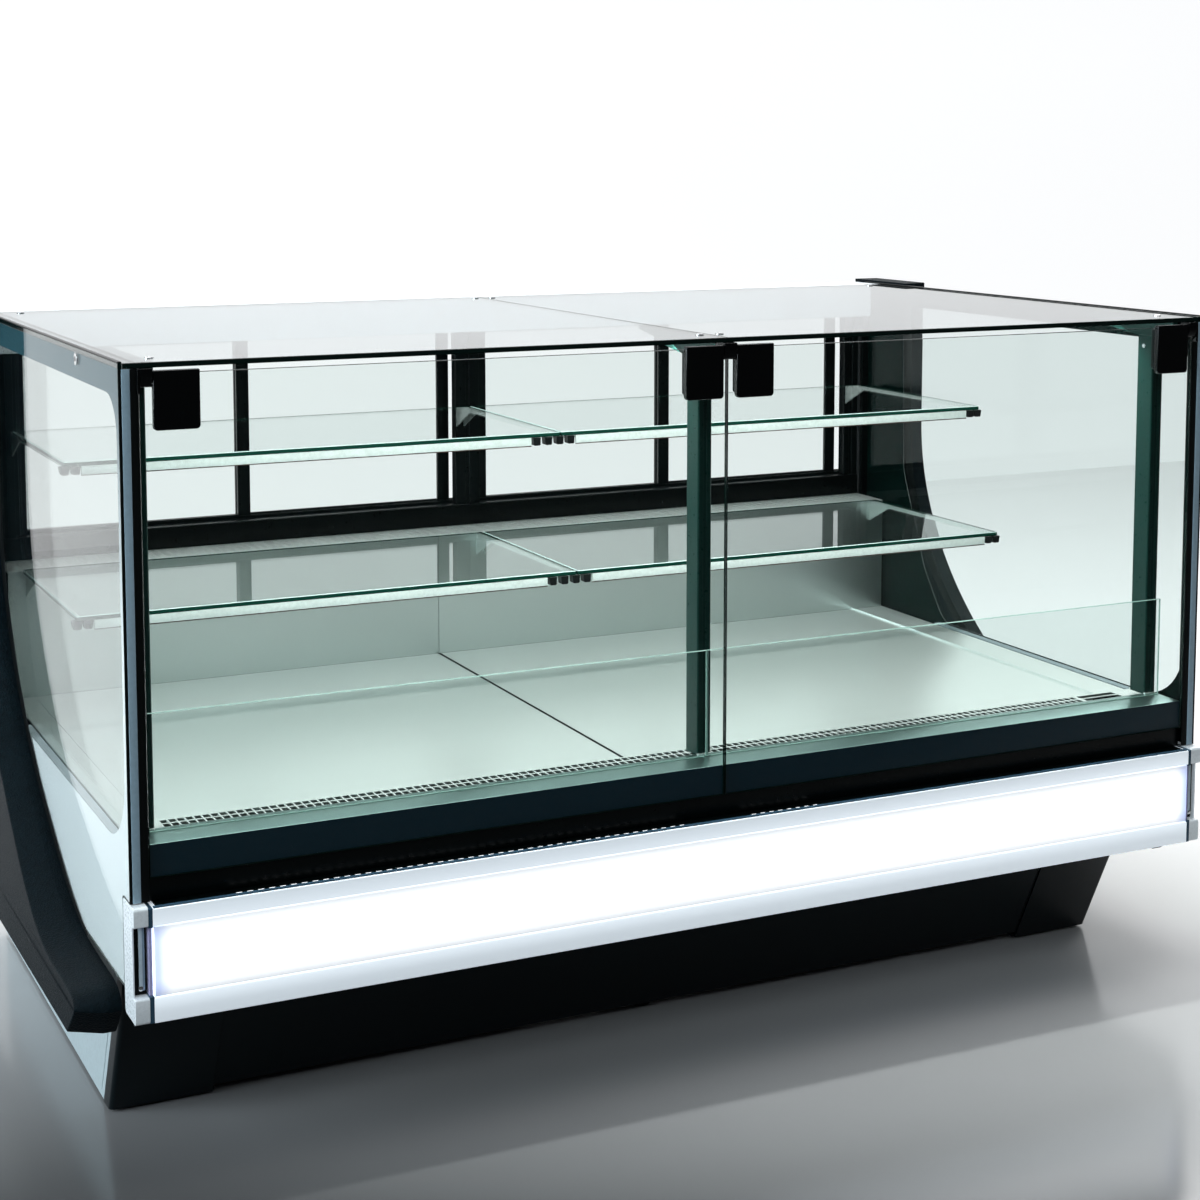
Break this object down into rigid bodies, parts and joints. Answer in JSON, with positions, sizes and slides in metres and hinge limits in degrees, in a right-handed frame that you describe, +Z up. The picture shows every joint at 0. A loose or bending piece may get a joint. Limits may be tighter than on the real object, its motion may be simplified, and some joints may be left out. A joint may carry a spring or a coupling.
{
  "type": "refrigerated bakery display case",
  "caption": "Refrigerated bakery display case: glass body with two glass shelf tiers and a stainless deck, moulded end arms, a lit front bumper, lift-up front panes and sliding rear doors.",
  "frame": {"origin": "centre of the case's box, on the floor", "axes": "+X right along the front as a customer sees it, +Y from the customer's side to the server's side, +Z up"},
  "size_m": [2.075, 1.17, 1.206],
  "materials": {
    "moulded_arm": "grained soft black moulding",
    "dark_panel": "satin black powder coat",
    "tub_shell": "black coated skins over insulating foam",
    "side_panel": "satin grey powder coat",
    "galvanised": "galvanised sheet",
    "stainless": "fine brushed stainless steel",
    "black_paint": "satin black paint",
    "aluminium_fins": "thin rolled fins",
    "copper_tube": "drawn copper tube",
    "fan_plastic": "moulded fan plastic",
    "button_plastic": "moulded button",
    "switch_red": "translucent red rocker",
    "black_plastic": "moulded nylon",
    "clear_glass": "clear toughened glass with green edges",
    "door_glass": "clear toughened glass in dark aluminium stiles",
    "spacer_dark": "printed border and spacer of the sealed unit",
    "hinge_black": "gloss black cover",
    "post_grey": "satin grey-green profile",
    "white_aluminium": "white coated extrusion",
    "light_diffuser": "lit opal diffuser",
    "bright_stud": "polished stud cap"
  },
  "bodies": {
    "case": {"base_frame": "galvanised", "base_front_panel": "dark_panel", "base_side_left": "side_panel", "base_side_right": "side_panel", "base_corners": "dark_panel", "rear_service_panel": "stainless", "levelling_feet": "galvanised", "compressor": "black_paint", "condenser_coil": "aluminium_fins", "condenser_fan_shroud": "black_paint", "drain_tray": "galvanised", "refrigerant_pipes": "copper_tube", "control_panel": "black_paint", "cable_gland": "black_plastic", "insulated_tub": "tub_shell", "back_duct": "stainless", "outlet_grille": "stainless", "evaporator_coil": "aluminium_fins", "evaporator_fan_plate": "galvanised", "deck_tray_left": "stainless", "deck_tray_right": "stainless", "deck_end_strips": "stainless", "air_return_grille": "stainless", "front_sill": "stainless", "rear_sill_beam": "dark_panel", "side_outer_pane_left": "clear_glass", "side_outer_pane_right": "clear_glass", "side_inner_panes": "clear_glass", "side_spacers": "spacer_dark", "top_pane_left": "clear_glass", "top_pane_right": "clear_glass", "hinge_brackets": "hinge_black", "front_posts": "post_grey", "deflector_panes": "clear_glass", "rear_top_rail": "white_aluminium", "rear_uprights": "black_paint", "shelf_panes_upper": "clear_glass", "shelf_panes_lower": "clear_glass", "shelf_brackets": "stainless", "shelf_light_profiles": "white_aluminium", "bumper_frame": "white_aluminium", "bumper_light_panel": "light_diffuser", "bumper_end_caps": "white_aluminium", "arm_left": "moulded_arm", "arm_right": "moulded_arm", "stud_caps": "bright_stud"},
    "left_front_pane": {"front_pane_left": "clear_glass", "hinge_blocks_left": "hinge_black"},
    "right_front_pane": {"front_pane_right": "clear_glass", "hinge_blocks_right": "hinge_black"},
    "door_1": {"rear_door_1": "door_glass"},
    "door_2": {"rear_door_2": "door_glass"},
    "door_3": {"rear_door_3": "door_glass"},
    "door_4": {"rear_door_4": "door_glass"},
    "condenser_fan_rotor": {"condenser_fan": "fan_plastic"},
    "left_evaporator_rotor": {"evaporator_fan_left": "fan_plastic"},
    "right_evaporator_rotor": {"evaporator_fan_right": "fan_plastic"},
    "up_button": {"button_up": "button_plastic"},
    "down_button": {"button_down": "button_plastic"},
    "rocker": {"power_switch": "switch_red"}
  },
  "joints": [
    {"name": "left_front_hinge", "type": "hinge", "parent": "case", "child": "left_front_pane", "pos_m": [-0.469, -0.57, 1.17], "axis": [-1, 0, 0], "range_deg": [0, 80]},
    {"name": "right_front_hinge", "type": "hinge", "parent": "case", "child": "right_front_pane", "pos_m": [0.469, -0.57, 1.17], "axis": [-1, 0, 0], "range_deg": [0, 80]},
    {"name": "door_1_slide", "type": "slide", "parent": "case", "child": "door_1", "axis": [1, 0, 0], "range_m": [0, 0.42]},
    {"name": "door_2_slide", "type": "slide", "parent": "case", "child": "door_2", "axis": [1, 0, 0], "range_m": [-0.42, 0]},
    {"name": "door_3_slide", "type": "slide", "parent": "case", "child": "door_3", "axis": [1, 0, 0], "range_m": [0, 0.42]},
    {"name": "door_4_slide", "type": "slide", "parent": "case", "child": "door_4", "axis": [1, 0, 0], "range_m": [-0.42, 0]},
    {"name": "condenser_fan_spin", "type": "hinge", "parent": "case", "child": "condenser_fan_rotor", "pos_m": [0.491, 0.325, 0.161], "axis": [1, 0, 0], "continuous": true},
    {"name": "left_evaporator_fan_spin", "type": "hinge", "parent": "case", "child": "left_evaporator_rotor", "pos_m": [-0.35, -0.261, 0.4], "axis": [0, -1, 0], "continuous": true},
    {"name": "right_evaporator_fan_spin", "type": "hinge", "parent": "case", "child": "right_evaporator_rotor", "pos_m": [0.35, -0.261, 0.4], "axis": [0, -1, 0], "continuous": true},
    {"name": "up_button_press", "type": "slide", "parent": "case", "child": "up_button", "axis": [0, -1, 0], "range_m": [0, 0.0025], "stiffness_N_per_m": 300},
    {"name": "down_button_press", "type": "slide", "parent": "case", "child": "down_button", "axis": [0, -1, 0], "range_m": [0, 0.0025], "stiffness_N_per_m": 300},
    {"name": "rocker_switch", "type": "hinge", "parent": "case", "child": "rocker", "pos_m": [0.596, 0.574, 0.64], "axis": [1, 0, 0], "range_deg": [-10, 10]}
  ]
}
